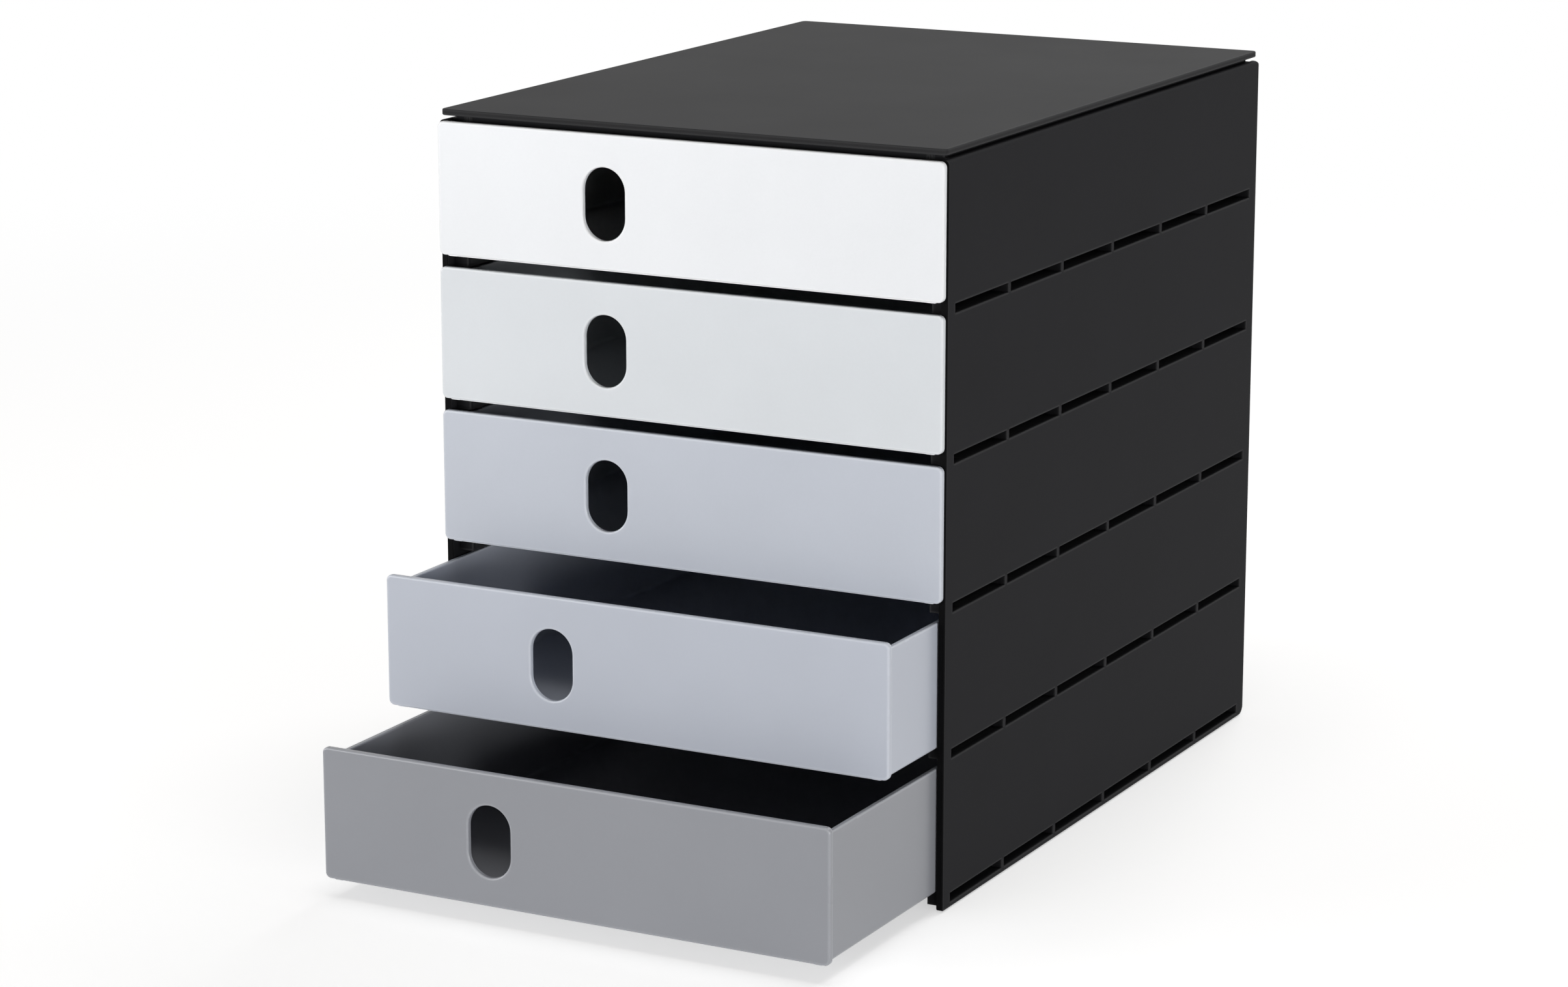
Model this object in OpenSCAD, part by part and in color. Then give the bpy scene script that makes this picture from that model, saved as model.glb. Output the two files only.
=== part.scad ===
// Desktop file drawer box: five one-piece drawers for A4 and C4 papers in a slim housing.
// The housing is two side panels with hollow runner rails, a raised top plate, a base and a back.
// Frame: X across the front, Y from front to back, Z up. X = 0 is the middle of the box, Y = 0
// is halfway from the drawer front that stands out most to the rear edge, and Z = 0 is the
// surface that it stands on. Inside the modules, Y counts from the front edge of the side panels.

/* [Housing] */
// Overall width over the two side panels
body_w = 245; // [238:1:252]
// Depth of the side panels, front edge to rear edge
body_d = 340; // [338:1:352]
// Wall thickness of a side panel
panel_t = 2.9; // [2.4:0.1:3.2]
// Height from one drawer to the next
pitch = 63.9; // [63:0.1:68]
// Thickness of the top plate
plate_t = 2.8; // [2.2:0.2:4]
// Height of the shadow gap between the side panels and the top plate
neck_h = 1.8; // [1.4:0.2:3]

/* [Runner rails] */
// How far a rail stands in from the inner face of its side panel
rail_w = 7; // [5:0.5:8]
// How far the front end of a rail stays behind the front edge
rail_setback = 5.8; // [5:0.2:8]
// Pockets that hollow each rail out from the outside
pockets = 6; // [3:1:8]
// Height of a pocket where it opens in the side panel
pocket_h = 4; // [3.4:0.1:4.2]
// Web between two pockets
pocket_web = 2.4; // [2:0.2:6]
// Rounding of the edges round the mouth of a pocket
mouth_r = 0.4; // [0.2:0.1:0.8]

/* [Drawers] */
// Width of a drawer front
front_w = 243.8; // [234:0.2:251]
// Height of a drawer front
front_h = 58.6; // [56:0.1:60]
// Thickness of a drawer front
front_t = 2.7; // [2.2:0.1:3]
// Radius of the four corners of a drawer front
front_r = 2.6; // [1.6:0.2:5]
// Rounding of the front edges of a drawer front
front_fillet = 0.8; // [0.4:0.1:1.2]
// Side clearance between a drawer and the side panels
tray_play = 0.8; // [0.5:0.1:1.4]
// Wall thickness of a drawer
tray_wall = 2.4; // [1.8:0.1:2.8]
// Height of the drawer walls, outside
tray_h = 55.4; // [50:0.1:55.8]
// Thickness of the drawer floor
floor_t = 2; // [1.6:0.1:2.6]

/* [Finger hole] */
// Width of the upright slot that a finger pulls at
hole_w = 20.6; // [18:0.2:26]
// Height of the upright slot
hole_h = 31.8; // [24:0.2:36]
// Distance of the slot from the middle of the front, towards the left
hole_off = 39; // [0:1:80]

/* [Pose] */
// How far each drawer stands open, from the top one down
drawer_open = [0, 0, 0, 48, 100.5]; // [0:0.5:270]

/* [Feet] */
// Diameter of a non-slip foot
foot_d = 14; // [10:1:18]
// How far the feet hold the side panels off the surface
foot_h = 0.6; // [0.4:0.1:2]

/* [Hidden] */

housing_black = "#232325";
plate_black = "#2c2c2e";
rubber_black = "#161617";
front_greys = ["#f0f1f3", "#dadee1", "#c0c5cf", "#b2bac4", "#91949a"];

levels = 5;
joint_gap = 0.2;
$fn = 32;

// Side panels
inner_x = body_w / 2 - panel_t;
shoulder_h = 3.1;
panel_h = levels * pitch + shoulder_h;
panel_top = foot_h + panel_h;
shoulder_r = 2.4;
panel_edge_r = 0.5;
sole_r = 1.4;
heel_r = 5.5;
nape_r = 2;

// Runner rails
rail_x = inner_x - rail_w;
rail_z = 1.5;
rail_h = 5.6;
rail_skin = 1;
pocket_z = 2.3;
pocket_y = 7.5;
rail_nose_r = 1.2;
rib_t = 1.6;
back_groove_y = body_d - 5.2;
back_t = 2.4;
rib_w = 3;
rail_end_y = back_groove_y - joint_gap;
pocket_l = (rail_end_y - 3 - pocket_y - (pockets - 1) * pocket_web) / pockets;
pocket_depth = panel_t + rail_w - rail_skin;
sole_rail_z = 0.3;
stop_y = 12;
stop_l = 6;
stop_drop = 1.6;

// Neck and top plate
neck_x = body_w / 2 - 4.8;
plate_z = panel_top + neck_h;
plate_w = body_w - 1.8;
plate_y = -0.8;
plate_d = body_d - 0.4 - plate_y;
plate_r = 2.6;
plate_fillet = 0.6;
skirt_t = 2.1;
skirt_x = rail_x - joint_gap - skirt_t;
skirt_drop = 4;
plate_rib_t = 1.4;
plate_rib_h = 1.6;
plate_ribs = 5;
top_rail_d = 9;
top_rail_wall = 1.6;
top_rail_x = skirt_x - joint_gap;

// Base plate
base_y = 24;
base_end_y = rail_end_y - 1.6;
base_x = rail_x - joint_gap;
base_z = foot_h + 0.7;
base_t = 2.2;
base_lip_h = 4.6;
base_rib_t = 1.4;
base_rib_h = 1.6;
base_ribs = 4;
base_cross_ribs = 5;
tongue_l = 14;
tongue_w = 4;
tongues = 3;
foot_inset_x = 24;
foot_inset_y = 20;
foot_recess = 1;
foot_bevel = 0.5;

// Back panel
back_x = inner_x - 0.4;
back_z = foot_h + sole_rail_z + 1;
back_h = panel_top - 1 - back_z;
back_rib_t = 2;
back_rib_out = 1.6;
back_uprights = 5;
back_upright_t = 1.6;

// Drawers
front_back_y = -joint_gap;
front_z = 7.9;
tray_hw = inner_x - tray_play;
tray_z = rail_z + rail_h + 0.3;
tray_end_y = rail_end_y - 2.4;
tray_r = 5;
rim_r = 0.6;
keel_r = 1.6;
cove_r = 2;
hole_z = front_z + front_h / 2 - 0.8;
hole_lip = 0.7;
travel = 270;
catch_y = stop_y + stop_l + travel + 0.5;
catch_l = 8;
catch_h = 1.7;

function level_z(n) = foot_h + (levels - n) * pitch;

// From the front edge of the side panels to the middle of the whole, open drawers included
middle_y = (body_d - front_t - joint_gap - max(drawer_open)) / 2;

module in_frame() {
    translate([0, -middle_y, 0])
        children();
}

// ---- Flat shapes ----

module stadium(w, h) {
    square([w, h - w], center = true);
    for (y = [-1, 1])
        translate([0, y * (h - w) / 2])
            circle(d = w);
}

// What is left of a square corner outside a quarter circle
module cove(r) {
    difference() {
        square(r);
        translate([r, r])
            circle(r);
    }
}

// ---- Solid shapes ----

// Section through the rim of a soft plate: its outer end is at r, with both edges rounded
module rim_section(t, r, f_low, f_top) {
    square([r - f_low, t / 2]);
    translate([0, t / 2])
        square([r - f_top, t / 2]);
    translate([0, f_low])
        square([r, t - f_low - f_top]);
    translate([r - f_low, f_low])
        circle(f_low);
    translate([r - f_top, t - f_top])
        circle(f_top);
}

// A flat plate with rounded corners whose lower and upper edges are rounded too
module soft_plate(w, h, t, r, f_low, f_top) {
    translate([r - w / 2, r - h / 2, 0])
        cube([w - 2 * r, h - 2 * r, t]);
    for (side = [0, 180])
        rotate([0, 0, side]) {
            translate([w / 2 - r, h / 2 - r, 0])
                rotate([90, 0, 0])
                    linear_extrude(h - 2 * r)
                        rim_section(t, r, f_low, f_top);
            translate([r - w / 2, h / 2 - r, 0])
                rotate([90, 0, 90])
                    linear_extrude(w - 2 * r)
                        rim_section(t, r, f_low, f_top);
            for (end = [-1, 1])
                translate([w / 2 - r, end * (h / 2 - r), 0])
                    rotate([0, 0, end < 0 ? -90 : 0])
                        rotate_extrude(angle = 90)
                            rim_section(t, r, f_low, f_top);
        }
}

// Section of the lip round the finger hole: a nose rounded on both faces
module lip_section() {
    r = hole_w / 2;
    translate([r, hole_lip])
        square([2 * hole_lip, front_t - 2 * hole_lip]);
    translate([r + hole_lip, 0])
        square([hole_lip, front_t]);
    for (y = [hole_lip, front_t - hole_lip])
        translate([r + hole_lip, y])
            circle(hole_lip);
}

module hole_rim() {
    straight = hole_h - hole_w;
    for (end = [0, 180])
        rotate([0, 0, end]) {
            translate([0, straight / 2, 0])
                rotate_extrude(angle = 180)
                    lip_section();
            translate([0, straight / 2, 0])
                rotate([90, 0, 0])
                    linear_extrude(straight)
                        lip_section();
        }
}

// Section through a drawer wall: 0 is its outer face, its foot runs in under the floor
module wall_section() {
    translate([-tray_wall, keel_r])
        square([tray_wall, tray_h - keel_r - rim_r]);
    translate([-tray_wall + rim_r, tray_h / 2])
        square([tray_wall - 2 * rim_r, tray_h / 2]);
    for (x = [-rim_r, rim_r - tray_wall])
        translate([x, tray_h - rim_r])
            circle(rim_r);
    translate([-tray_r, 0])
        square([tray_r - keel_r, floor_t]);
    translate([-keel_r, keel_r])
        circle(keel_r);
    translate([-tray_wall, floor_t])
        mirror([1, 0])
            cove(cove_r);
}

module drawer_walls() {
    side_l = tray_end_y - tray_r - front_back_y + front_t / 2;
    for (side = [0, 1])
        mirror([side, 0, 0]) {
            translate([tray_hw, tray_end_y - tray_r, 0])
                rotate([90, 0, 0])
                    linear_extrude(side_l)
                        wall_section();
            translate([tray_hw - tray_r, tray_end_y - tray_r, 0])
                rotate_extrude(angle = 90)
                    translate([tray_r, 0])
                        wall_section();
            translate([0, tray_end_y, 0])
                rotate([90, 0, 90])
                    linear_extrude(tray_hw - tray_r)
                        wall_section();
        }
}

// Coves where the walls and the floor meet the back of the front
module front_coves() {
    inside = tray_hw - tray_wall;
    for (side = [0, 1])
        mirror([side, 0, 0])
            translate([-inside, front_back_y, floor_t])
                linear_extrude(tray_h - floor_t - rim_r)
                    cove(cove_r);
    translate([-inside, front_back_y, floor_t])
        rotate([90, 0, 90])
            linear_extrude(2 * inside)
                cove(cove_r);
}

// Catches on the rims that meet the stops of the rails above
module drawer_catches() {
    for (side = [0, 1])
        mirror([side, 0, 0])
            translate([tray_hw - tray_wall + rim_r, catch_y, tray_h - rim_r])
                rotate([90, 0, 90])
                    linear_extrude(tray_wall - 2 * rim_r)
                        polygon([
                            [0, 0], [0, catch_h + rim_r], [catch_l / 2, catch_h + rim_r],
                            [catch_l, 0]
                        ]);
}

module drawer_front() {
    difference() {
        translate([0, front_back_y, front_z + front_h / 2])
            rotate([90, 0, 0])
                soft_plate(front_w, front_h, front_t, front_r, front_fillet / 2, front_fillet);
        translate([-hole_off, front_back_y + 1, hole_z])
            rotate([90, 0, 0])
                linear_extrude(front_t + 2)
                    stadium(hole_w + 2 * hole_lip, hole_h + 2 * hole_lip);
    }
    translate([-hole_off, front_back_y, hole_z])
        rotate([90, 0, 0])
            hole_rim();
}

// One drawer is one moulding: front, walls and floor
module drawer(n) {
    color(front_greys[n - 1])
        in_frame()
            translate([0, -drawer_open[n - 1], level_z(n)]) {
                drawer_front();
                translate([0, 0, tray_z]) {
                    drawer_walls();
                    translate([-tray_hw + tray_r - 1, front_back_y - 1, 0])
                        cube([2 * (tray_hw - tray_r + 1), tray_end_y - tray_r + 2, floor_t]);
                    front_coves();
                    drawer_catches();
                }
            }
}

// ---- Side panels ----

// Outline of a side panel seen from the side, with its own radius at each corner
module panel_outline() {
    difference() {
        square([body_d, panel_h]);
        cove(sole_r);
        translate([body_d, 0])
            mirror([1, 0])
                cove(heel_r);
        translate([body_d, panel_h])
            mirror([1, 0])
                mirror([0, 1])
                    cove(nape_r);
    }
}

// The bare wall: side outline, cross section and plan, each with its rounded outer edges
module panel_wall() {
    intersection() {
        translate([inner_x, 0, foot_h])
            rotate([90, 0, 90])
                linear_extrude(panel_t)
                    panel_outline();
        translate([inner_x, 0, foot_h])
            mirror([0, 1, 0])
                rotate([90, 0, 0])
                    linear_extrude(body_d)
                        difference() {
                            square([panel_t, panel_h]);
                            translate([panel_t, panel_h])
                                mirror([1, 0])
                                    mirror([0, 1])
                                        cove(shoulder_r);
                            translate([panel_t, 0])
                                mirror([1, 0])
                                    cove(panel_edge_r);
                        }
        translate([inner_x, 0, foot_h])
            linear_extrude(panel_h)
                difference() {
                    square([panel_t, body_d]);
                    translate([panel_t, 0])
                        mirror([1, 0])
                            cove(panel_edge_r);
                    translate([panel_t, body_d])
                        mirror([1, 0])
                            mirror([0, 1])
                                cove(panel_edge_r);
                }
    }
}

// Side view of a rail: its front end has a rounded top so that a drawer rides up on it
module rail_outline(low, high) {
    difference() {
        translate([rail_setback, low])
            square([rail_end_y - rail_setback, high - low]);
        translate([rail_setback, high])
            mirror([0, 1])
                cove(rail_nose_r);
    }
}

module rail(low, high) {
    translate([rail_x, 0, 0])
        rotate([90, 0, 90])
            linear_extrude(rail_w + 0.5)
                rail_outline(low, high);
}

// Stop under the front end of a rail, ramped so that a drawer slips in past it
module rail_stop(z) {
    translate([rail_x + rail_w - 5, 0, z])
        rotate([90, 0, 90])
            linear_extrude(5.5)
                polygon([
                    [stop_y, 0.2], [stop_y, 0], [stop_y + stop_l / 2, -stop_drop],
                    [stop_y + stop_l, -stop_drop], [stop_y + stop_l, 0.2]
                ]);
}

// One pocket with rounded edges round its mouth, which opens towards +X
module pocket() {
    translate([-pocket_depth, 0, 0])
        cube([pocket_depth + 1, pocket_l, pocket_h]);
    difference() {
        translate([-mouth_r, -mouth_r, -mouth_r])
            cube([mouth_r + 1, pocket_l + 2 * mouth_r, pocket_h + 2 * mouth_r]);
        for (y = [-mouth_r, pocket_l + mouth_r])
            translate([-mouth_r, y, pocket_h / 2])
                cylinder(r = mouth_r, h = 2 * pocket_h, center = true);
        for (z = [-mouth_r, pocket_h + mouth_r])
            translate([-mouth_r, pocket_l / 2, z])
                rotate([90, 0, 0])
                    cylinder(r = mouth_r, h = 2 * pocket_l, center = true);
    }
}

// The pockets that core one rail from outside
module pocket_row(z) {
    for (i = [0 : pockets - 1])
        translate([body_w / 2, pocket_y + i * (pocket_l + pocket_web), z])
            pocket();
}

// Upstand on the shoulder that carries the top plate above its shadow gap
module neck_side() {
    length = rail_end_y - rail_setback;
    translate([rail_x, rail_setback, panel_top - shoulder_h + rail_z])
        cube([rail_w + 0.5, length, shoulder_h - rail_z]);
    translate([rail_x, rail_setback, panel_top - 0.5])
        cube([neck_x - rail_x, length, neck_h + 0.5]);
}

// Two upright ribs that hold the edge of the back panel between them
module back_groove() {
    groove_z = foot_h + heel_r;
    groove_h = panel_h - heel_r - nape_r;
    for (y = [back_groove_y - rib_t - joint_gap, back_groove_y + back_t + joint_gap])
        translate([inner_x - rib_w, y, groove_z])
            cube([rib_w + 0.5, rib_t, groove_h]);
}

// Windows in the inner skin of the lowest rail for the tongues of the base plate
module tongue_windows() {
    for (i = [0 : tongues - 1])
        translate([rail_x - 1, tongue_y(i) - joint_gap, base_z - joint_gap])
            cube([tongue_w + 2, tongue_l + 2 * joint_gap, base_t + 2 * joint_gap]);
}

function tongue_y(i) =
    base_y + 22 + i * (base_end_y - base_y - 44 - tongue_l) / (tongues - 1);

module side_panel() {
    color(housing_black)
        in_frame()
            difference() {
                union() {
                    panel_wall();
                    for (n = [1 : levels]) {
                        low = level_z(n) + (n == levels ? sole_rail_z : rail_z);
                        rail(low, level_z(n) + rail_z + rail_h);
                        rail_stop(level_z(n) + pitch + rail_z);
                    }
                    neck_side();
                    back_groove();
                }
                for (n = [1 : levels])
                    pocket_row(level_z(n) + pocket_z);
                tongue_windows();
            }
}

module side_panel_left() {
    mirror([1, 0, 0])
        side_panel();
}

module side_panel_right() {
    side_panel();
}

// ---- Top ----

// Stiffening ribs under the plate, between the two rails that tie the sides together
module plate_underside() {
    front = rail_setback + top_rail_d + joint_gap;
    rear = rail_end_y - top_rail_d - joint_gap;
    for (i = [1 : plate_ribs])
        translate([
            -skirt_x + i * 2 * skirt_x / (plate_ribs + 1) - plate_rib_t / 2, front,
            plate_z - plate_rib_h
        ])
            cube([plate_rib_t, rear - front, plate_rib_h + 0.5]);
    for (y = [front, (front + rear - plate_rib_t) / 2, rear - plate_rib_t])
        translate([-skirt_x - 0.5, y, plate_z - plate_rib_h])
            cube([2 * skirt_x + 1, plate_rib_t, plate_rib_h + 0.5]);
}

// The raised plate: rounded slab with a skirt rib inside each side panel
module top_plate() {
    color(plate_black)
        in_frame() {
            translate([0, plate_y + plate_d / 2, plate_z])
                soft_plate(plate_w, plate_d, plate_t, plate_r, plate_fillet, plate_fillet);
            for (side = [0, 1])
                mirror([side, 0, 0])
                    translate([skirt_x, rail_setback, plate_z - skirt_drop])
                        cube([skirt_t, rail_end_y - rail_setback, skirt_drop + 0.5]);
            plate_underside();
        }
}

// A channel section that ties the two skirts together under the plate
module top_rail(y) {
    color(housing_black)
        in_frame()
            translate([-top_rail_x, y, plate_z - skirt_drop])
                difference() {
                    cube([2 * top_rail_x, top_rail_d, skirt_drop]);
                    translate([top_rail_wall, top_rail_wall, -1])
                        cube([
                            2 * (top_rail_x - top_rail_wall), top_rail_d - 2 * top_rail_wall,
                            skirt_drop - top_rail_wall + 1
                        ]);
                }
}

module top_front_rail() { top_rail(rail_setback); }
module top_rear_rail() { top_rail(rail_end_y - top_rail_d); }

// ---- Base, feet and back ----

module foot_places() {
    for (x = [-1, 1], y = [base_y + foot_inset_y, base_end_y - foot_inset_y])
        translate([x * (base_x - foot_inset_x), y, 0])
            children();
}

// A grid of low ribs that stiffens the base from above
module base_ribbing() {
    z = base_z + base_t - 0.2;
    length = base_end_y - base_y;
    for (i = [1 : base_ribs])
        translate([-base_x + i * 2 * base_x / (base_ribs + 1) - base_rib_t / 2, base_y + 1, z])
            cube([base_rib_t, length - 1, base_rib_h + 0.2]);
    for (i = [1 : base_cross_ribs])
        translate([-base_x, base_y + i * (length - base_rib_t) / base_cross_ribs, z])
            cube([2 * base_x, base_rib_t, base_rib_h + 0.2]);
}

// The floor of the housing: a thin plate with a raised front lip, clipped into the lowest rails
module base_plate() {
    color(housing_black)
        in_frame()
            difference() {
                union() {
                    translate([-base_x, base_y, base_z])
                        cube([2 * base_x, base_end_y - base_y, base_t]);
                    translate([-base_x, base_y, base_z])
                        cube([2 * base_x, base_t, base_lip_h]);
                    for (side = [0, 1], i = [0 : tongues - 1])
                        mirror([side, 0, 0])
                            translate([base_x - 0.5, tongue_y(i), base_z])
                                cube([tongue_w + 0.5, tongue_l, base_t]);
                    base_ribbing();
                }
                translate([0, 0, base_z - 1])
                    foot_places()
                        cylinder(d = foot_d + 0.4, h = foot_recess + 1);
            }
}

module foot(x, y) {
    color(rubber_black)
        in_frame()
            translate([x * (base_x - foot_inset_x), y, 0]) {
                cylinder(d1 = foot_d - 2 * foot_bevel, d2 = foot_d, h = foot_bevel);
                translate([0, 0, foot_bevel])
                    cylinder(d = foot_d, h = base_z + foot_recess - foot_bevel);
            }
}

module foot_front_left() { foot(-1, base_y + foot_inset_y); }
module foot_front_right() { foot(1, base_y + foot_inset_y); }
module foot_rear_left() { foot(-1, base_end_y - foot_inset_y); }
module foot_rear_right() { foot(1, base_end_y - foot_inset_y); }

// Ribs of the back wall: one level with each rail, crossed by uprights, inside a low border
module back_ribbing() {
    low = level_z(levels) + rail_z + 2;
    high = panel_top - 5;
    for (z = [for (n = [1 : levels]) level_z(n) + rail_z + 2, high - back_rib_t])
        translate([-rail_x, back_groove_y + back_t - 0.2, z])
            cube([2 * rail_x, back_rib_out + 0.2, back_rib_t]);
    for (i = [0 : back_uprights - 1])
        translate([
            -rail_x + i * (2 * rail_x - back_upright_t) / (back_uprights - 1),
            back_groove_y + back_t - 0.2, low
        ])
            cube([back_upright_t, back_rib_out + 0.2, high - low]);
}

// The back wall slides into the grooves of the side panels
module back_panel() {
    color(housing_black)
        in_frame() {
            translate([-back_x, back_groove_y, back_z])
                cube([2 * back_x, back_t, back_h]);
            back_ribbing();
        }
}

module drawer_1() { drawer(1); }
module drawer_2() { drawer(2); }
module drawer_3() { drawer(3); }
module drawer_4() { drawer(4); }
module drawer_5() { drawer(5); }

side_panel_left();
side_panel_right();
top_plate();
top_front_rail();
top_rear_rail();
base_plate();
back_panel();
foot_front_left();
foot_front_right();
foot_rear_left();
foot_rear_right();
drawer_1();
drawer_2();
drawer_3();
drawer_4();
drawer_5();
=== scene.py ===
"""Desktop file drawer: looks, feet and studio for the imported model.

The housing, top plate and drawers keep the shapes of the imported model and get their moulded
plastics here. The four rubber feet are modelled here in place of the plain ones.
"""

import math
from collections import namedtuple

import bpy
from bpy.props import FloatProperty, FloatVectorProperty, PointerProperty
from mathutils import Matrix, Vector


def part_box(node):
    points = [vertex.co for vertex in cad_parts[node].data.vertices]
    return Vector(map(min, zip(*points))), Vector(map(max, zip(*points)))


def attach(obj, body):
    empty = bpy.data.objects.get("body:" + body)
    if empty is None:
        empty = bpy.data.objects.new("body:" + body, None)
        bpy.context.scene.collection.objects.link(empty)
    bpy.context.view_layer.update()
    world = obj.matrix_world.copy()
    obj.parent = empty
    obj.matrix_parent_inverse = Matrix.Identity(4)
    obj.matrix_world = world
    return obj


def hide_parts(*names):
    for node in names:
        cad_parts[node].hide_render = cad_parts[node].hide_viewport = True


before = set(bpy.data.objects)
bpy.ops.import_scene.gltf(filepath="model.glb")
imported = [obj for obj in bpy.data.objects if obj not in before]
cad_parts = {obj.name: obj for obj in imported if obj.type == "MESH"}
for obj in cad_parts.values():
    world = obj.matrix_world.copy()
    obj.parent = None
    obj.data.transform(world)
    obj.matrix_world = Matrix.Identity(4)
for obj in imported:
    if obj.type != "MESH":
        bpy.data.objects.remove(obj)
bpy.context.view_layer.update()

bl_info = {
    "name": "Desktop File Drawer",
    "version": (1, 0, 0),
    "blender": (4, 5, 0),
    "location": "View3D > Sidebar > File Drawer",
    "description": "Finishes a five-drawer desktop box: plastics, rubber feet and a studio",
    "category": "Object",
}

MM = 0.001

HOUSING_NODES = (
    "side_panel_left", "side_panel_right", "top_front_rail", "top_rear_rail",
    "base_plate", "back_panel",
)
FOOT_NODES = ("foot_front_left", "foot_front_right", "foot_rear_left", "foot_rear_right")
DRAWERS = 5

# The side panels' front faces, on the Y axis
PANEL_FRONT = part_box("side_panel_right")[0].y

# The light from above and from all round is a little warmer than the other lamps'
WHITE = (1.0, 1.0, 1.0)
WARM = (1.0, 0.98, 0.955)

# Azimuth and elevation are in degrees from the front, distance, width and height in metres,
# and the share is of full light on the object
SoftBox = namedtuple("SoftBox", "name azimuth elevation distance width height share colour")
SOFT_BOXES = (
    SoftBox("right_box", 54, 2, 2.8, 2.2, 0.42, 0.54, WHITE),
    SoftBox("left_box", -46, 4, 2.8, 2.0, 0.6, 0.52, WHITE),
    SoftBox("top_box", 20, 84, 2.4, 1.2, 1.2, 0.20, WARM),
    SoftBox("back_box", 172, 46, 2.6, 1.5, 1.2, 0.30, WHITE),
)
LAMPS_AIM = Vector((0.0, 0.0, 0.16))
# Watts with which an area lamp lights a white card one metre away as bright as it is
FULL_LIGHT = math.pi ** 2

SENSOR_WIDTH = 36.0
# How far from the object's middle the floor starts and ends turning into the backdrop
BACKDROP_FROM, BACKDROP_TO = 0.6, 1.8

# How each plastic was finished: gloss and relief of its mould, and how even its colour is
Finish = namedtuple("Finish", "roughness shine contrast grain_depth wave_depth")
HOUSING_FINISH = Finish(0.52, 0.02, 0.10, 0.012 * MM, 0.02 * MM)
PLATE_FINISH = Finish(0.5, 0.022, 0.06, 0.006 * MM, 0.015 * MM)
DRAWER_FINISH = Finish(0.34, 0.5, 0.02, 0.003 * MM, 0.03 * MM)

# How much the grain counts in the colour's unevenness, where the clouds count 1
GRAIN_SHARE = 0.35
# Roughness that the clouds add or take, and that full rubbing adds
CLOUD_GLOSS = 0.015
RUBBED_GLOSS = -0.12
# How far a drawer's painted edge highlight goes from its own colour towards white
EDGE_HIGHLIGHT_PALE = 0.9
# Ambient occlusion, felt from inside the plastic, at which an edge gets the full painted highlight
# and the full rubbed gloss
EDGE_MASK_FULL = 0.68
# Ambient occlusion at which a slot gets the full painted shade, and at which an open face gets
# none
SLOT_FULL_SHADE, SLOT_NO_SHADE = 0.3, 0.8
# How far behind the panels' front faces the painted shade on the front rims is full, and where it
# ends in the panel's own black
RIM_FULL_SHADE, RIM_SHADE_END = 0.3 * MM, 0.6 * MM
OCCLUSION_SAMPLES = 6

# The rubber's dust patches and leathery skin
DUST_WIDTH, DUST_MOST = 3 * MM, 0.35
SKIN_WIDTH, SKIN_DEPTH = 0.5 * MM, 0.02 * MM

# The stretches of noise that run from one shade, gloss or coat of dust to the other
SHADE_FROM, SHADE_TO = 0.45, 0.9
GLOSS_FROM, GLOSS_TO = 0.3, 0.7
DUST_FROM, DUST_TO = 0.45, 0.75

# The feet's roundness, and how near two measures are to count as equal
FOOT_SIDES = 64
ROUND_STEPS = 4
SMOOTH_BELOW = math.radians(40)
LEVEL, SAME_RADIUS, RING_SLACK = 0.001 * MM, 0.01 * MM, 0.2 * MM

# Sockets of a colour Mix node
FACTOR, FIRST, SECOND, MIXED = 0, 6, 7, 2


def linear(hex_colour):
    """An sRGB hex colour as linear red, green and blue."""
    channels = (int(hex_colour[i:i + 2], 16) / 255 for i in (1, 3, 5))
    return tuple(
        c / 12.92 if c <= 0.04045 else ((c + 0.055) / 1.055) ** 2.4 for c in channels
    )


def hue(name, text, hex_colour):
    """A colour property whose default is written as sRGB hex."""
    return FloatVectorProperty(
        name=name, description=text, default=linear(hex_colour),
        subtype="COLOR", size=3, min=0.0, max=1.0,
    )


# ---- Settings ----

class FileDrawerColours(bpy.types.PropertyGroup):
    """Colours of the mouldings in even light, and of their painted edge highlights and shade."""

    housing: hue("Housing", "Black of the side panels, base and back", "#232325")
    # Painted highlight: the paler black laid along the housing's edges
    housing_edge_highlight: hue("Housing edges", "Paler black of the housing's rubbed edges", "#39393a")
    # Painted shade: the deeper black laid in the narrow slots and on the panels' front rims
    housing_painted_shade: hue("Housing slots", "Deeper black of slots and front rims", "#0e0e0f")
    plate: hue("Top plate", "Black of the raised top plate", "#2d2d2e")
    # Painted highlight: the paler black laid along the plate's edges
    plate_edge_highlight: hue("Plate edges", "Paler black of the plate's rubbed edges", "#404041")
    rubber: hue("Feet", "Black of the rubber feet", "#171718")
    dust: hue("Dust", "Grey of the dust on the rubber", "#3b3a38")
    drawer_1: hue("Drawer 1", "White of the top drawer", "#edeff2")
    drawer_2: hue("Drawer 2", "Very pale grey of the second drawer", "#d9dde1")
    drawer_3: hue("Drawer 3", "Light blue-grey of the third drawer", "#c1c6d0")
    drawer_4: hue("Drawer 4", "Middle blue-grey of the fourth drawer", "#bbc0cb")
    drawer_5: hue("Drawer 5", "Grey of the bottom drawer", "#8e9096")


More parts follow.
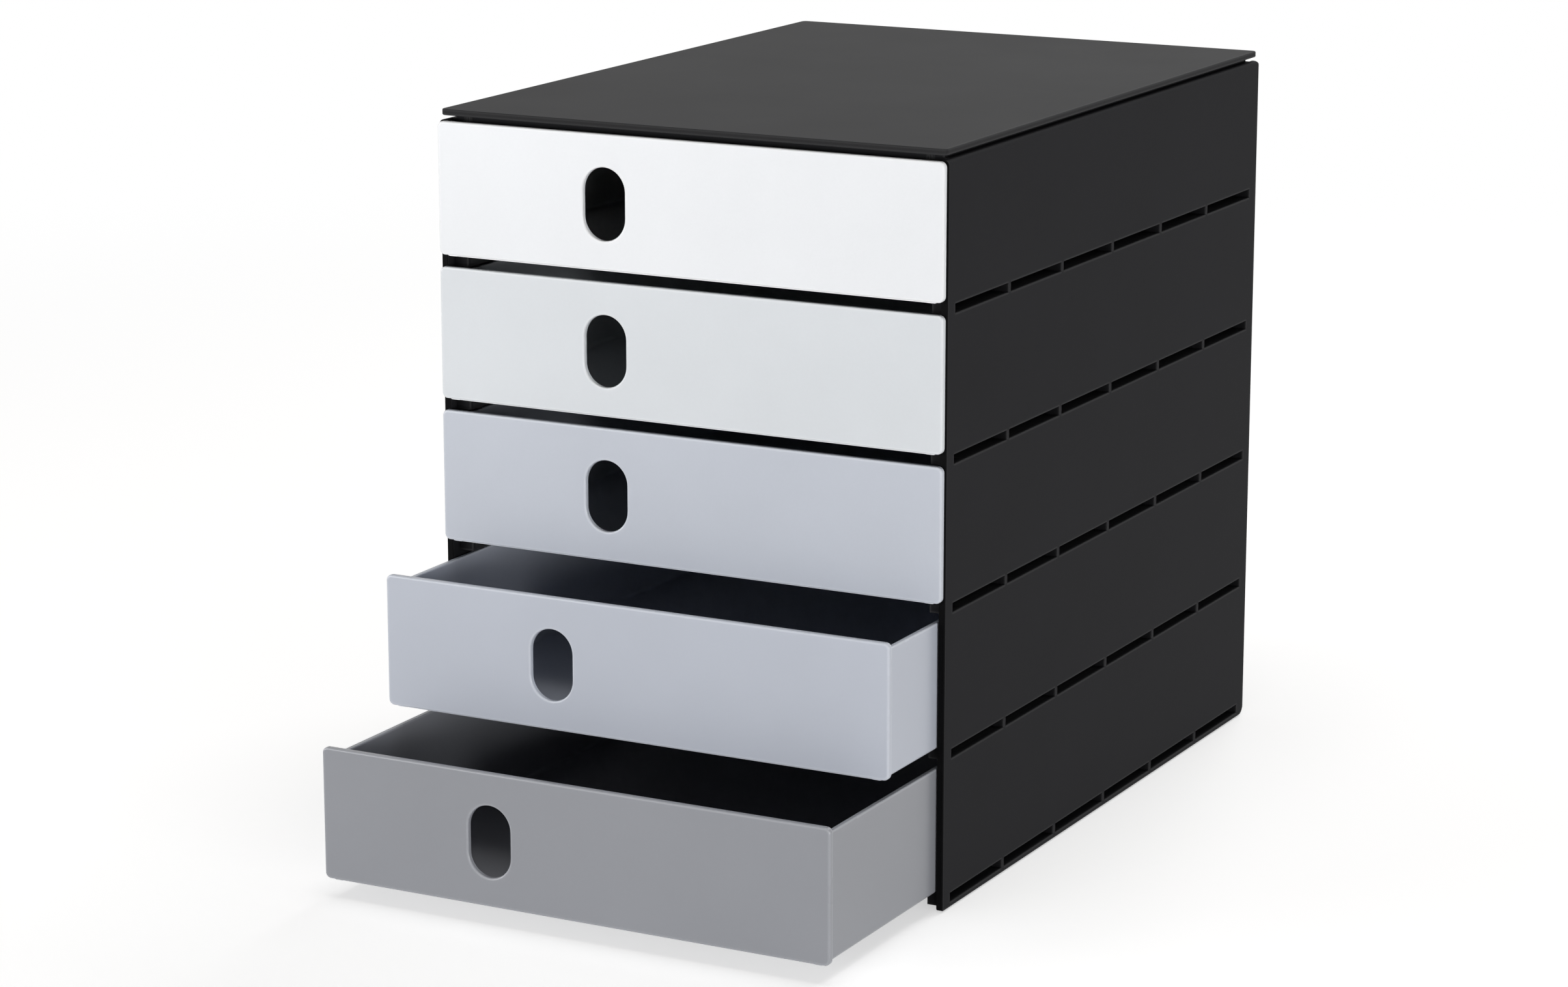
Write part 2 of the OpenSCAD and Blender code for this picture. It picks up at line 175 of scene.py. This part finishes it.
class FileDrawerSurface(bpy.types.PropertyGroup):
    """Real sizes of what shows on the moulded surfaces."""

    grain: FloatProperty(
        name="Spark grain", description="Width of a pit of the eroded mould, drawn coarse",
        default=0.9 * MM, min=0.2 * MM, max=5 * MM, unit="LENGTH", subtype="DISTANCE",
    )
    waves: FloatProperty(
        name="Shrink waves", description="Length of the soft waves left as the plastic shrinks",
        default=22 * MM, min=4 * MM, max=80 * MM, unit="LENGTH", subtype="DISTANCE",
    )
    cloud: FloatProperty(
        name="Melt clouds", description="Width of the faint clouds where the melt cooled unevenly",
        default=60 * MM, min=10 * MM, max=200 * MM, unit="LENGTH", subtype="DISTANCE",
    )
    # The band carries the painted edge highlight as well as the smoother gloss
    edge: FloatProperty(
        name="Rubbed edge", description="Width of the band that handling has rubbed smooth",
        default=1.1 * MM, min=0.1 * MM, max=3 * MM, unit="LENGTH", subtype="DISTANCE",
    )
    # The slot reach also sets how far round a hollow the painted shade spreads
    slot: FloatProperty(
        name="Slot reach", description="How far round it a hollow is felt as a narrow slot",
        default=5 * MM, min=1 * MM, max=20 * MM, unit="LENGTH", subtype="DISTANCE",
    )


class FileDrawerFoot(bpy.types.PropertyGroup):
    """Sizes of a rubber foot."""

    round_over: FloatProperty(
        name="Edge radius", description="Rounding of the edge that meets the desk",
        default=0.35 * MM, min=0.1 * MM, max=0.6 * MM, unit="LENGTH", subtype="DISTANCE",
    )
    ring_at: FloatProperty(
        name="Ring radius", description="Radius of the groove in the underside",
        default=4.2 * MM, min=2 * MM, max=5.5 * MM, unit="LENGTH", subtype="DISTANCE",
    )
    ring_wide: FloatProperty(
        name="Ring width", description="Width of the groove in the underside",
        default=0.9 * MM, min=0.3 * MM, max=2 * MM, unit="LENGTH", subtype="DISTANCE",
    )
    ring_deep: FloatProperty(
        name="Ring depth", description="Depth of the groove in the underside",
        default=0.3 * MM, min=0.1 * MM, max=0.8 * MM, unit="LENGTH", subtype="DISTANCE",
    )


class FileDrawerStage(bpy.types.PropertyGroup):
    """Camera, floor and lamps."""

    camera_at: FloatVectorProperty(
        name="Camera place", description="Where the camera stands",
        default=(0.8786, -1.6958, 0.6020), size=3, unit="LENGTH", subtype="TRANSLATION",
    )
    azimuth: FloatProperty(
        name="Azimuth", description="How far the camera stands round to the right",
        default=math.radians(27.813), unit="ROTATION", subtype="ANGLE",
    )
    elevation: FloatProperty(
        name="Elevation", description="How far the camera looks down",
        default=math.radians(13.4615), unit="ROTATION", subtype="ANGLE",
    )
    lens: FloatProperty(
        name="Focal length", description=f"On a sensor {SENSOR_WIDTH:.0f} mm wide",
        default=99.35, min=20.0, max=300.0, unit="CAMERA",
    )
    floor: hue("Floor", "Pale plain floor", "#f4f4f4")
    floor_size: FloatProperty(
        name="Floor size", description="Length of the floor's sides",
        default=16.0, min=4.0, max=60.0, unit="LENGTH", subtype="DISTANCE",
    )
    floor_lift: FloatProperty(
        name="Floor lift", description="Light that the floor adds to what the eye sees of it",
        default=0.53, min=0.0, max=1.0,
    )
    sky: FloatProperty(
        name="Even light", description="Strength of the light that comes from all round",
        default=0.12, min=0.0, max=2.0,
    )


# ---- Helpers ----

def add(tree, kind, at, inputs=None, **settings):
    """Adds a node with its settings; an input is a number, a colour or a socket to link."""
    node = tree.nodes.new(kind)
    node.location = at
    for name, value in settings.items():
        setattr(node, name, value)
    for socket, value in (inputs or {}).items():
        if isinstance(value, bpy.types.NodeSocket):
            tree.links.new(value, node.inputs[socket])
        else:
            node.inputs[socket].default_value = value
    return node


def blank_material(name):
    """A new material with an empty node tree, and that tree."""
    material = bpy.data.materials.new(name)
    material.use_nodes = True
    material.node_tree.nodes.clear()
    return material, material.node_tree


def sight_line(azimuth, elevation):
    """The direction of a look at the object from this far round to the right and up."""
    return Vector((
        -math.sin(azimuth) * math.cos(elevation),
        math.cos(azimuth) * math.cos(elevation),
        -math.sin(elevation),
    ))


def give(piece, material):
    """The whole piece gets this one material."""
    piece.data.materials.clear()
    piece.data.materials.append(material)


def pick(piece, kind, test):
    """In edit mode, selects the piece's faces or edges whose corners pass the test."""
    bpy.ops.mesh.select_all(action="DESELECT")
    bpy.ops.mesh.select_mode(type=kind)
    bpy.ops.object.mode_set(mode="OBJECT")
    mesh = piece.data
    parts = mesh.polygons if kind == "FACE" else mesh.edges
    for part in parts:
        part.select = test([mesh.vertices[i].co for i in part.vertices])
    found = any(part.select for part in parts)
    bpy.ops.object.mode_set(mode="EDIT")
    if not found:
        raise RuntimeError(f"{piece.name}: nothing to shape was found")


# ---- Materials ----

def edge_highlight_and_wear(tree, band):
    """1 on the edges, where the plastic behind is thinner than the band, for a painted highlight
    and gloss.
    """
    skin = add(
        tree, "ShaderNodeAmbientOcclusion", (-1100, -220), {"Distance": band},
        samples=OCCLUSION_SAMPLES, inside=True, only_local=True,
    )
    return add(
        tree, "ShaderNodeMapRange", (-900, -220),
        {"Value": skin.outputs["AO"], "From Min": 1.0, "From Max": EDGE_MASK_FULL},
    ).outputs["Result"]


def unshaded_faces(tree, spot, reach):
    """1 on the open faces, 0 in the painted shade of narrow slots and the panels' front rims."""
    hollow = add(
        tree, "ShaderNodeAmbientOcclusion", (-700, -260), {"Distance": reach},
        samples=OCCLUSION_SAMPLES, only_local=True,
    )
    wide = add(
        tree, "ShaderNodeMapRange", (-500, -260),
        {"Value": hollow.outputs["AO"], "From Min": SLOT_FULL_SHADE, "From Max": SLOT_NO_SHADE},
    )
    axes = add(tree, "ShaderNodeSeparateXYZ", (-900, -360), {"Vector": spot})
    behind = add(
        tree, "ShaderNodeMapRange", (-700, -420),
        {"Value": axes.outputs["Y"], "From Min": PANEL_FRONT + RIM_FULL_SHADE,
         "From Max": PANEL_FRONT + RIM_SHADE_END},
    )
    return add(
        tree, "ShaderNodeMath", (-300, -300),
        {0: wide.outputs["Result"], 1: behind.outputs["Result"]}, operation="MULTIPLY",
    ).outputs["Value"]


def moulded_polystyrene(name, colour, edge_highlight, finish, surface, painted_shade=None):
    """Injection-moulded high-impact polystyrene from a spark-eroded mould.

    It gives the eye an even through-coloured surface with a soft satin reflection that swims
    a little over shrink waves, faint clouds where the melt cooled unevenly, a fine grain, and
    a painted highlight along the edges, which are also rubbed a little smoother. A painted
    shade, where its colour is given, darkens the narrow slots and the thin front rims.
    """
    material, tree = blank_material(name)
    place = add(tree, "ShaderNodeTexCoord", (-1500, 0))
    spot = place.outputs["Object"]

    clouds = add(
        tree, "ShaderNodeTexNoise", (-1100, 60),
        {"Vector": spot, "Scale": 1 / surface.cloud, "Detail": 3.0, "Roughness": 0.5},
    )
    # The real pits are about 0.05 mm wide, too fine to show, so they are drawn coarser
    pits = add(
        tree, "ShaderNodeTexNoise", (-1100, -700),
        {"Vector": spot, "Scale": 1 / surface.grain, "Detail": 2.0, "Roughness": 0.6},
    )

    # Mask of the painted edge highlight and of the smoother rubbed gloss
    edge = edge_highlight_and_wear(tree, surface.edge)

    # Colour: two shades of one plastic, speckled by the grain, with a painted highlight along the
    # edges
    shade = add(
        tree, "ShaderNodeMath", (-900, 120),
        {0: pits.outputs["Fac"], 1: GRAIN_SHARE, 2: clouds.outputs["Fac"]},
        operation="MULTIPLY_ADD",
    )
    spread = add(
        tree, "ShaderNodeMapRange", (-720, 120),
        {"Value": shade.outputs["Value"], "From Min": SHADE_FROM, "From Max": SHADE_TO},
    )
    darker = (*(c * (1 - finish.contrast) for c in colour), 1.0)
    lighter = (*(c * (1 + finish.contrast) for c in colour), 1.0)
    tint = add(
        tree, "ShaderNodeMix", (-500, 120),
        {FACTOR: spread.outputs["Result"], FIRST: darker, SECOND: lighter}, data_type="RGBA",
    )
    painted = add(
        tree, "ShaderNodeMix", (-280, 60),
        {FACTOR: edge, FIRST: tint.outputs[MIXED], SECOND: (*edge_highlight, 1.0)}, data_type="RGBA",
    )
    # Painted shade: a deeper black in the narrow slots and on the panels' front rims
    if painted_shade is not None:
        painted = add(
            tree, "ShaderNodeMix", (-120, 160),
            {FACTOR: unshaded_faces(tree, spot, surface.slot), FIRST: (*painted_shade, 1.0),
             SECOND: painted.outputs[MIXED]},
            data_type="RGBA",
        )

    # Gloss: clouds differ a little, rubbed edges are smoother
    sheen = add(
        tree, "ShaderNodeMapRange", (-720, 340),
        {"Value": clouds.outputs["Fac"], "From Min": GLOSS_FROM, "From Max": GLOSS_TO,
         "To Min": finish.roughness - CLOUD_GLOSS, "To Max": finish.roughness + CLOUD_GLOSS},
    )
    gloss = add(
        tree, "ShaderNodeMath", (-480, 300),
        {0: edge, 1: RUBBED_GLOSS, 2: sheen.outputs["Result"]}, operation="MULTIPLY_ADD",
    )

    # Relief: shrink waves under a fine spark grain
    waves = add(
        tree, "ShaderNodeTexNoise", (-900, -480),
        {"Vector": spot, "Scale": 1 / surface.waves, "Detail": 1.0, "Roughness": 0.4},
    )
    shrink = add(
        tree, "ShaderNodeBump", (-480, -480),
        {"Height": waves.outputs["Fac"], "Distance": finish.wave_depth, "Strength": 1.0},
    )
    relief = add(
        tree, "ShaderNodeBump", (-260, -600),
        {"Height": pits.outputs["Fac"], "Distance": finish.grain_depth, "Strength": 1.0,
         "Normal": shrink.outputs["Normal"]},
    )

    plastic = add(
        tree, "ShaderNodeBsdfPrincipled", (0, 0),
        {"Base Color": painted.outputs[MIXED], "Roughness": gloss.outputs["Value"],
         "Normal": relief.outputs["Normal"], "IOR": 1.55, "Metallic": 0.0,
         "Specular IOR Level": finish.shine},
    )
    add(tree, "ShaderNodeOutputMaterial", (300, 0), {"Surface": plastic.outputs["BSDF"]})
    return material


def moulded_rubber(name, colour, dust_colour):
    """Compression-moulded nitrile rubber: matt and dusty, with a fine leathery skin."""
    material, tree = blank_material(name)
    place = add(tree, "ShaderNodeTexCoord", (-900, 0))
    dust = add(
        tree, "ShaderNodeTexNoise", (-700, 120),
        {"Vector": place.outputs["Object"], "Scale": 1 / DUST_WIDTH, "Detail": 4.0},
    )
    # Grey dust lies in patches a few millimetres wide
    patches = add(
        tree, "ShaderNodeMapRange", (-500, 120),
        {"Value": dust.outputs["Fac"], "From Min": DUST_FROM, "From Max": DUST_TO,
         "To Max": DUST_MOST},
    )
    tint = add(
        tree, "ShaderNodeMix", (-280, 120),
        {FACTOR: patches.outputs["Result"], FIRST: (*colour, 1.0),
         SECOND: (*dust_colour, 1.0)},
        data_type="RGBA",
    )
    skin = add(
        tree, "ShaderNodeTexVoronoi", (-700, -160),
        {"Vector": place.outputs["Object"], "Scale": 1 / SKIN_WIDTH},
    )
    relief = add(
        tree, "ShaderNodeBump", (-280, -160),
        {"Height": skin.outputs["Distance"], "Distance": SKIN_DEPTH, "Strength": 1.0},
    )
    rubber = add(
        tree, "ShaderNodeBsdfPrincipled", (0, 0),
        {"Base Color": tint.outputs[MIXED], "Roughness": 0.78, "IOR": 1.52,
         "Normal": relief.outputs["Normal"]},
    )
    add(tree, "ShaderNodeOutputMaterial", (300, 0), {"Surface": rubber.outputs["BSDF"]})
    return material


def seen(tree, at):
    """1 for a ray from the camera, off a glossy surface or through glass, else 0."""
    x, y = at
    sight = add(tree, "ShaderNodeLightPath", (x - 400, y))
    direct = add(
        tree, "ShaderNodeMath", (x - 200, y),
        {0: sight.outputs["Is Camera Ray"], 1: sight.outputs["Is Glossy Ray"]},
        operation="ADD", use_clamp=True,
    )
    return add(
        tree, "ShaderNodeMath", (x, y),
        {0: direct.outputs["Value"], 1: sight.outputs["Is Transmission Ray"]},
        operation="ADD", use_clamp=True,
    ).outputs["Value"]


def painted_floor(name, stage):
    """Matt white studio paint: plain white to the eye, with the object's soft shadow on it."""
    material, tree = blank_material(name)
    paint = add(tree, "ShaderNodeBsdfDiffuse", (-300, 100), {"Color": (*stage.floor, 1.0)})
    lift = add(tree, "ShaderNodeEmission", (-300, -60), {"Strength": stage.floor_lift})
    lifted = add(
        tree, "ShaderNodeAddShader", (-80, -20),
        {0: paint.outputs["BSDF"], 1: lift.outputs["Emission"]},
    )
    # Far from the object the paint turns into the backdrop's plain white
    place = add(tree, "ShaderNodeTexCoord", (-900, -240))
    reach = add(
        tree, "ShaderNodeVectorMath", (-700, -240),
        {0: place.outputs["Object"]}, operation="LENGTH",
    )
    far = add(
        tree, "ShaderNodeMapRange", (-500, -240),
        {"Value": reach.outputs["Value"], "From Min": BACKDROP_FROM,
         "From Max": BACKDROP_TO},
        interpolation_type="SMOOTHSTEP",
    )
    white = add(tree, "ShaderNodeEmission", (-80, -160), {"Strength": 1.0})
    to_the_eye = add(
        tree, "ShaderNodeMixShader", (120, -80),
        {0: far.outputs["Result"], 1: lifted.outputs["Shader"], 2: white.outputs["Emission"]},
    )
    shown = add(
        tree, "ShaderNodeMixShader", (320, 60),
        {0: seen(tree, (120, 300)), 1: paint.outputs["BSDF"],
         2: to_the_eye.outputs["Shader"]},
    )
    add(tree, "ShaderNodeOutputMaterial", (520, 60), {"Surface": shown.outputs["Shader"]})
    return material


# ---- Pieces ----

def middle_of(node):
    """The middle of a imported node's box."""
    low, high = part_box(node)
    return (low + high) / 2


def model_foot(node, sizes):
    """A round foot where the node is, with a ring groove below and a rounded lower edge."""
    low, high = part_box(node)
    middle = middle_of(node)
    radius = (high.x - low.x) / 2
    inner = sizes.ring_at - sizes.ring_wide / 2
    outer = sizes.ring_at + sizes.ring_wide / 2

    def off_axis(points):
        return [math.hypot(p.x - middle.x, p.y - middle.y) for p in points]

    def is_under(points):
        return all(abs(p.z - low.z) < LEVEL for p in points)

    def is_ring(points):
        away = off_axis(points)
        in_ring = min(away) > inner - RING_SLACK and max(away) < outer + RING_SLACK
        return is_under(points) and in_ring

    def is_sole_edge(points):
        return is_under(points) and min(off_axis(points)) > radius - SAME_RADIUS

    bpy.ops.object.select_all(action="DESELECT")
    bpy.ops.mesh.primitive_cylinder_add(
        vertices=FOOT_SIDES, radius=radius, depth=high.z - low.z, location=middle
    )
    foot = bpy.context.object
    bpy.ops.object.transform_apply(location=True, rotation=True, scale=True)
    bpy.ops.object.mode_set(mode="EDIT")

    # The groove: two insets in the underside, and the ring between them pushed in
    pick(foot, "FACE", is_under)
    bpy.ops.mesh.inset(thickness=radius - outer)
    bpy.ops.mesh.inset(thickness=sizes.ring_wide)
    pick(foot, "FACE", is_ring)
    bpy.ops.mesh.extrude_region_move(TRANSFORM_OT_translate={"value": (0, 0, sizes.ring_deep)})

    pick(foot, "EDGE", is_sole_edge)
    bpy.ops.mesh.bevel(offset=sizes.round_over, segments=ROUND_STEPS, profile=0.5)
    bpy.ops.mesh.select_all(action="SELECT")
    bpy.ops.mesh.normals_make_consistent(inside=False)
    bpy.ops.object.mode_set(mode="OBJECT")
    bpy.ops.object.shade_smooth_by_angle(angle=SMOOTH_BELOW)
    return foot


def copy_foot(model, node):
    """A copy of the modelled foot, with its own mesh, where another node is."""
    bpy.ops.object.select_all(action="DESELECT")
    model.select_set(True)
    bpy.context.view_layer.objects.active = model
    bpy.ops.object.duplicate()
    foot = bpy.context.object
    foot.location = middle_of(node) - middle_of(FOOT_NODES[0])
    bpy.ops.object.transform_apply(location=True, rotation=True, scale=True)
    return foot


# ---- Operators ----

class FILEDRAWER_OT_housing(bpy.types.Operator):
    """Give the side panels, ties, base and back their black moulded plastic"""

    bl_idname = "filedrawer.housing"
    bl_label = "Finish the housing"

    def execute(self, context):
        colours = context.scene.filedrawer_colours
        # The housing's edges get a painted highlight, its slots and front rims a painted shade
        black = moulded_polystyrene(
            "Black high-impact polystyrene, matt moulded",
            colours.housing, colours.housing_edge_highlight, HOUSING_FINISH,
            context.scene.filedrawer_surface, painted_shade=colours.housing_painted_shade,
        )
        for name in HOUSING_NODES:
            give(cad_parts[name], black)
        return {"FINISHED"}


class FILEDRAWER_OT_plate(bpy.types.Operator):
    """Give the raised top plate its smoother black plastic"""

    bl_idname = "filedrawer.plate"
    bl_label = "Finish the top plate"

    def execute(self, context):
        colours = context.scene.filedrawer_colours
        # The plate's edges get a painted highlight
        black = moulded_polystyrene(
            "Black high-impact polystyrene, fine satin plate",
            colours.plate, colours.plate_edge_highlight, PLATE_FINISH, context.scene.filedrawer_surface,
        )
        give(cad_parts["top_plate"], black)
        return {"FINISHED"}


class FILEDRAWER_OT_drawers(bpy.types.Operator):
    """Give each drawer the through-coloured plastic of its own shade"""

    bl_idname = "filedrawer.drawers"
    bl_label = "Finish the drawers"

    def execute(self, context):
        scene = context.scene
        for number in range(1, DRAWERS + 1):
            colour = getattr(scene.filedrawer_colours, f"drawer_{number}")
            # Painted edge highlight: each drawer's colour taken most of the way towards white
            edge_highlight = [c * (1 + EDGE_HIGHLIGHT_PALE * (1 - c)) for c in colour]
            shade = moulded_polystyrene(
                f"Polystyrene drawer {number}, satin-gloss moulded",
                colour, edge_highlight, DRAWER_FINISH, scene.filedrawer_surface,
            )
            give(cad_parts[f"drawer_{number}"], shade)
        return {"FINISHED"}


class FILEDRAWER_OT_feet(bpy.types.Operator):
    """Model a rubber foot and copy it to the four corners, in place of the plain feet"""

    bl_idname = "filedrawer.feet"
    bl_label = "Model the feet"

    def execute(self, context):
        colours = context.scene.filedrawer_colours
        model = model_foot(FOOT_NODES[0], context.scene.filedrawer_foot)
        rubber = moulded_rubber("Nitrile rubber, moulded matt", colours.rubber, colours.dust)
        give(model, rubber)

        feet = [model] + [copy_foot(model, node) for node in FOOT_NODES[1:]]
        for foot, node in zip(feet, FOOT_NODES):
            foot.name = node.replace("foot", "rubber_foot")
            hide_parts(node)
            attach(foot, "housing")
        return {"FINISHED"}


class FILEDRAWER_OT_stage(bpy.types.Operator):
    """Set up the floor, the soft lamps, the even light and the camera"""

    bl_idname = "filedrawer.stage"
    bl_label = "Set the stage"

    def execute(self, context):
        scene = context.scene
        stage = scene.filedrawer_stage

        bpy.ops.object.select_all(action="DESELECT")
        bpy.ops.mesh.primitive_plane_add(size=stage.floor_size, location=(0, 0, 0))
        floor = context.object
        floor.name = "studio_floor"
        give(floor, painted_floor("Matt white studio paint", stage))

        for box in SOFT_BOXES:
            shining = sight_line(math.radians(box.azimuth), math.radians(box.elevation))
            bpy.ops.object.light_add(
                type="AREA", location=LAMPS_AIM - shining * box.distance
            )
            lamp = context.object
            lamp.name = box.name
            lamp.data.shape = "RECTANGLE"
            lamp.data.size, lamp.data.size_y = box.width, box.height
            lamp.data.color = box.colour
            lamp.data.energy = box.share * FULL_LIGHT * box.distance ** 2
            lamp.rotation_mode = "QUATERNION"
            lamp.rotation_quaternion = shining.to_track_quat("-Z", "Y")

        world = bpy.data.worlds.new("Even studio light")
        scene.world = world
        world.use_nodes = True
        tree = world.node_tree
        tree.nodes.clear()
        even = add(
            tree, "ShaderNodeBackground", (-250, 60),
            {"Color": (*WARM, 1.0), "Strength": stage.sky},
        )
        white = add(
            tree, "ShaderNodeBackground", (-250, -100),
            {"Color": (*WHITE, 1.0), "Strength": 1.0},
        )
        shown = add(
            tree, "ShaderNodeMixShader", (0, 0),
            {0: seen(tree, (-250, 240)), 1: even.outputs["Background"],
             2: white.outputs["Background"]},
        )
        add(tree, "ShaderNodeOutputWorld", (220, 0), {"Surface": shown.outputs["Shader"]})

        bpy.ops.object.camera_add(location=stage.camera_at)
        camera = context.object
        camera.name = "photo_camera"
        camera.rotation_mode = "QUATERNION"
        camera.rotation_quaternion = sight_line(
            stage.azimuth, stage.elevation
        ).to_track_quat("-Z", "Y")
        camera.data.sensor_width = SENSOR_WIDTH
        camera.data.lens = stage.lens
        scene.camera = camera

        scene.view_settings.view_transform = "Standard"
        return {"FINISHED"}


class FILEDRAWER_PT_panel(bpy.types.Panel):
    """Lists the steps and the settings of the file drawer"""

    bl_idname = "FILEDRAWER_PT_panel"
    bl_label = "File Drawer"
    bl_space_type = "VIEW_3D"
    bl_region_type = "UI"
    bl_category = "File Drawer"

    def draw(self, context):
        layout = self.layout
        for step in STEPS:
            layout.operator(step.bl_idname)
        for title, group in (
            ("Colours", context.scene.filedrawer_colours),
            ("Surface", context.scene.filedrawer_surface),
            ("Feet", context.scene.filedrawer_foot),
            ("Stage", context.scene.filedrawer_stage),
        ):
            box = layout.box()
            box.label(text=title)
            for name in group.__annotations__:
                box.prop(group, name)


STEPS = (
    FILEDRAWER_OT_housing,
    FILEDRAWER_OT_plate,
    FILEDRAWER_OT_drawers,
    FILEDRAWER_OT_feet,
    FILEDRAWER_OT_stage,
)
GROUPS = {
    "filedrawer_colours": FileDrawerColours,
    "filedrawer_surface": FileDrawerSurface,
    "filedrawer_foot": FileDrawerFoot,
    "filedrawer_stage": FileDrawerStage,
}


def register():
    for group in GROUPS.values():
        bpy.utils.register_class(group)
    for step in (*STEPS, FILEDRAWER_PT_panel):
        bpy.utils.register_class(step)
    for name, group in GROUPS.items():
        setattr(bpy.types.Scene, name, PointerProperty(type=group))


def unregister():
    for name in GROUPS:
        delattr(bpy.types.Scene, name)
    for step in (FILEDRAWER_PT_panel, *reversed(STEPS)):
        bpy.utils.unregister_class(step)
    for group in reversed(tuple(GROUPS.values())):
        bpy.utils.unregister_class(group)


def main():
    """Runs every step in order."""
    register()
    bpy.ops.filedrawer.housing()
    bpy.ops.filedrawer.plate()
    bpy.ops.filedrawer.drawers()
    bpy.ops.filedrawer.feet()
    bpy.ops.filedrawer.stage()


if __name__ == "__main__":
    main()
